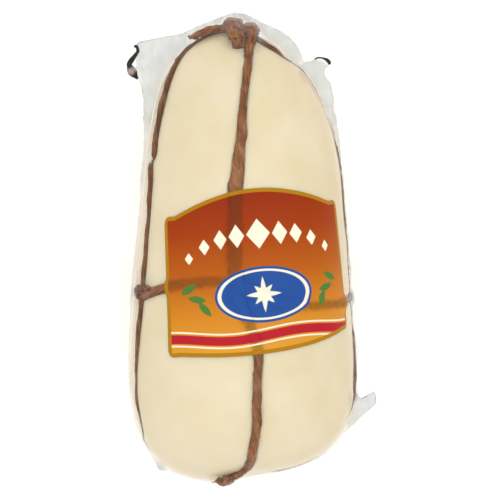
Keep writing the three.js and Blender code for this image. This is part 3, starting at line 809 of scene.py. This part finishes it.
filmPiece = newPiece("filmBag", bm, filmMaterial(), "clear_film", "film")
print("film made,", len(filmPiece.data.polygons), "faces")


# label: wrapped round the front on the film, and standing where twine lies beneath
labelForm = {
    "width": 85.7, "side": 58, "flare": 0.036, "slope": 0.047, "arch": 9.4, "sag": 3.2, "shoulder": 0.87,
    "bowing": 1.15, "corner": 3, "t": 0.536, "bearing": math.radians(10.6), "tilt": math.radians(5),
    "columns": 180, "rows": 150, "proud": 0.22, "thick": 0.1, "rim": 1.7,
    # where the field's colours start, how far they run, and how soft the shade over the twine is
    "fadeFrom": -32, "fadeOver": 70, "softening": 5,
}


def labelPlace(u, v):
    # the place on the skin under a point of the flat label, in mm across and up from its middle
    c, s = math.cos(labelForm["tilt"]), math.sin(labelForm["tilt"])
    u *= 1 - 2 * labelForm["flare"] * v / labelForm["side"]
    t = labelForm["t"] - (v * c + u * s) / skin["length"]
    return t, labelForm["bearing"] + (u * c - v * s) / halfWidth(t)


def labelEdges(u):
    # its lower and upper edge at a place across it
    half, side, corner = labelForm["width"] / 2, labelForm["side"] / 2, labelForm["corner"]
    rounding = corner - math.sqrt(max(0, corner ** 2 - max(0, abs(u) - half + corner) ** 2))
    bow = max(0, 1 - (u / (labelForm["shoulder"] * half)) ** 2) ** labelForm["bowing"]
    return (labelForm["slope"] * u - side - labelForm["sag"] * bow + rounding,
            side + labelForm["arch"] * bow - rounding)


def oval(u, v, x, y, wide, high):
    # signed distance to an oval, positive inside, in mm
    a, b = (u - x) / wide, (v - y) / high
    r = math.hypot(a, b)
    return (1 - r) * min(wide, high) if r > 1e-6 else min(wide, high)


def lozenge(u, v, x, y, wide, high):
    return (1 - abs(u - x) / wide - abs(v - y) / high) * min(wide, high) * 0.8


def leaf(u, v, x, y, long, wide, turn):
    c, s = math.cos(turn), math.sin(turn)
    a, b = (u - x) * c + (v - y) * s, -(u - x) * s + (v - y) * c
    return (wide * (1 - (a / long) ** 2) - abs(b)) * 0.8


# the print: a bare medallion low on the field, a garland of lozenges over it, a plain band and sprigs
printed = {
    "medallion": {"y": -7, "wide": 21, "high": 12},
    "ring": {"wide": 19, "high": 10.4, "half": 0.45},
    "star": {"long": 7.6, "short": 5.6, "half": 1.25},
    "topLozenge": {"y": 19, "wide": 5.2, "high": 6.4},
    "garland": {"x": 9.5, "y": 18.6, "apart": 7.2, "droop": 0.9, "wide": 3.4, "thinning": 0.5, "high": 5,
                "lowering": 0.8},
    "band": {"y": -24.5, "half": 1.9, "wave": 1.2, "waveLength": 9, "lines": 2.9, "lineHalf": 0.35},
    "sprig": {"x": 25.5, "y": -11.4, "out": 3.2, "up": 4.4, "long": 4.2, "half": 1.5, "turn": 0.9,
              "opening": 0.7},
}


def motifs(u, v):
    # signed distances into each colour of the print, in mm
    medal, ring, star, top = (printed[name] for name in ("medallion", "ring", "star", "topLozenge"))
    blue = oval(u, v, 0, medal["y"], medal["wide"], medal["high"])
    cream = max(ring["half"] - abs(oval(u, v, 0, medal["y"], ring["wide"], ring["high"])),
                lozenge(u, v, 0, top["y"], top["wide"], top["high"]))
    for k in range(4):
        long = star["short"] if k % 2 else star["long"]
        cream = max(cream, leaf(u, v, 0, medal["y"], long, star["half"], k * pi / 4))
    row = printed["garland"]
    sprig = printed["sprig"]
    green = -math.inf
    for side in (-1, 1):
        for k in range(4):
            x, y = side * (row["x"] + row["apart"] * k), row["y"] - row["droop"] * k * k
            wide, high = row["wide"] - row["thinning"] * k, row["high"] - row["lowering"] * k
            cream = max(cream, lozenge(u, v, x, y, wide, high))
        for k in range(3):
            x, y = side * (sprig["x"] + sprig["out"] * k), sprig["y"] + sprig["up"] * k
            turn = side * (sprig["turn"] - sprig["opening"] * k)
            green = max(green, leaf(u, v, x, y, sprig["long"], sprig["half"], turn))
    band = printed["band"]
    low = v - band["y"] - band["wave"] * math.sin(u / band["waveLength"])
    red = band["half"] - abs(low)
    cream = max(cream, band["lineHalf"] - abs(abs(low) - band["lines"]))
    return {"blue": blue, "cream": cream, "red": red, "green": green}


filmSurface = surfaceOf(filmPiece)
bm = bmesh.new()
layers = {name: bm.verts.layers.float.new(name)
          for name in ("rise", "rim", "beneath", "blue", "cream", "red", "green")}
bmesh.ops.create_grid(bm, x_segments=labelForm["columns"], y_segments=labelForm["rows"], size=0.5)
for v in bm.verts:
    u = v.co.x * labelForm["width"]
    low, high = labelEdges(u)
    y = mix(low, high, v.co.y + 0.5)
    t, bearing = labelPlace(u, y)
    up = skinNormal(t, bearing)
    start = above(t, bearing, bag["over"])
    hit, _, _, _ = filmSurface.ray_cast(start, -up)
    v.co = hit + up * labelForm["proud"] * mm
    v[layers["rise"]] = (y - labelForm["fadeFrom"]) / labelForm["fadeOver"]
    v[layers["rim"]] = labelForm["rim"] - min(y - low, high - y, labelForm["width"] / 2 - abs(u))
    for name, value in motifs(u, y).items():
        v[layers[name]] = value
    v[layers["beneath"]] = 1 if outermost(t, bearing) > 0.4 else 0
beneath = np.array([v[layers["beneath"]] for v in bm.verts]).reshape(labelForm["rows"] + 1, -1)
for i in range(labelForm["softening"]):
    wide = np.pad(beneath, 1, mode="edge")
    beneath = (wide[1:-1, :-2] + wide[1:-1, 2:] + wide[:-2, 1:-1] + wide[2:, 1:-1] + 2 * beneath) / 6
for v, value in zip(bm.verts, beneath.flat):
    v[layers["beneath"]] = float(value)
labelPiece = newPiece("frontLabel", bm, labelMaterial(), "printed_label", "label")
thickness = labelPiece.modifiers.new("thickness", "SOLIDIFY")
thickness.thickness = labelForm["thick"] * mm
thickness.offset = 0
print("label made")


# rolled tips of the two ears at the head
rolls = {
    # places as (share round the rim, out from it, up, thickness)
    "filmTipLeft": ("film_roll_left", (
        (-0.1838, 0.8, 0.8, 0.9), (-0.1815, -0.1, 1.4, 1.3), (-0.183, -0.8, 1.8, 1.5),
        (-0.187, -1.1, 1.8, 1.5), (-0.1925, -0.4, 1.4, 1.5), (-0.1986, 0.8, 1, 2),
        (-0.2051, 2.1, 0.6, 2.6), (-0.2125, 3.3, 0.4, 2.7), (-0.217, 3, 0.4, 3.3),
        (-0.2215, 2.4, 0.4, 3.4), (-0.2258, 1.4, 0.2, 2.4), (-0.2296, 0.4, 0.2, 1.2))),
    "filmTipRight": ("film_roll_right", (
        (0.1871, -0.2, 0.2, 0.5), (0.1877, 0.8, 0.4, 0.6), (0.1904, 0.2, 0.6, 0.7), (0.1951, 0.1, 0.8, 1),
        (0.2002, 0.2, 0.8, 1.3), (0.2055, 0.2, 0.5, 1.4), (0.2091, 0.5, 0.2, 1))),
}
darkFilm = rollMaterial()
for name, (node, places) in rolls.items():
    points = []
    for at, out, rise, thick in places:
        rim, _ = rimSpot(at, 0)
        inner = above(*onCheese(0, at), 0, 0)
        spot = rim + (rim - inner).normalized() * out * mm + Vector((0, 0, rise * mm))
        points.append((spot, Vector((0, 0, 1))))
    bm = newTwine()
    route = resample(points, 0.25)
    along = np.linspace(0, len(places) - 1, len(route))
    wide = np.interp(along, range(len(places)), [place[3] for place in places])
    layTwine(bm, route, wide, 0.7 * wide, 0, 14, ((2, 0.2),))
    newPiece(name, bm, darkFilm, "dark_film_edge", node)
print("film tips made")


# floor and light: a white table in a light tent
studio = {
    "floor": 3, "floorGlow": 0.32, "tentLow": 0.72, "tentHigh": 1.2, "lampsAim": (0, 0, 0.03),
    # each lamp's place in metres, its size and its power
    "lamps": {"key": ((0.3, 0.35, 1.3), 1.2, 2.6), "fill": ((-0.6, -0.2, 1.1), 1, 0.8)},
}
bm = bmesh.new()
bmesh.ops.create_grid(bm, x_segments=1, y_segments=1, size=studio["floor"])
mesh = bpy.data.meshes.new("floor")
bm.to_mesh(mesh)
bm.free()
floor = bpy.data.objects.new("floor", mesh)
floor.location.z = -0.3 * mm
bpy.context.collection.objects.link(floor)
white, tree = newMaterial("white table")
shader = add(tree, "ShaderNodeBsdfPrincipled", {
    "Base Color": linear("e8e8e8"), "Roughness": 0.7, "Emission Color": linear("ffffff"),
    "Emission Strength": studio["floorGlow"],
})
add(tree, "ShaderNodeOutputMaterial", {"Surface": shader.outputs[0]})
mesh.materials.append(white)

sky = bpy.data.worlds.new("tent")
sky.use_nodes = True
tree = sky.node_tree
tree.nodes.clear()
way = add(tree, "ShaderNodeSeparateXYZ", {0: add(tree, "ShaderNodeTexCoord").outputs["Generated"]})
glow = add(tree, "ShaderNodeMapRange", {0: way.outputs[2], 1: 0, 2: 0.9, 3: studio["tentLow"],
                                        4: studio["tentHigh"]})
shine = add(tree, "ShaderNodeBackground", {0: (1, 1, 1, 1), 1: glow.outputs[0]})
add(tree, "ShaderNodeOutputWorld", {0: shine.outputs[0]})
bpy.context.scene.world = sky
for name, (place, size, power) in studio["lamps"].items():
    lamp = bpy.data.lights.new(name, "AREA")
    lamp.size = size
    lamp.energy = power
    holder = bpy.data.objects.new(name, lamp)
    holder.location = place
    towards = Vector(studio["lampsAim"]) - Vector(place)
    holder.rotation_euler = towards.to_track_quat("-Z", "Y").to_euler()
    bpy.context.collection.objects.link(holder)
bpy.context.scene.view_settings.view_transform = "Standard"
print("stage and light made")
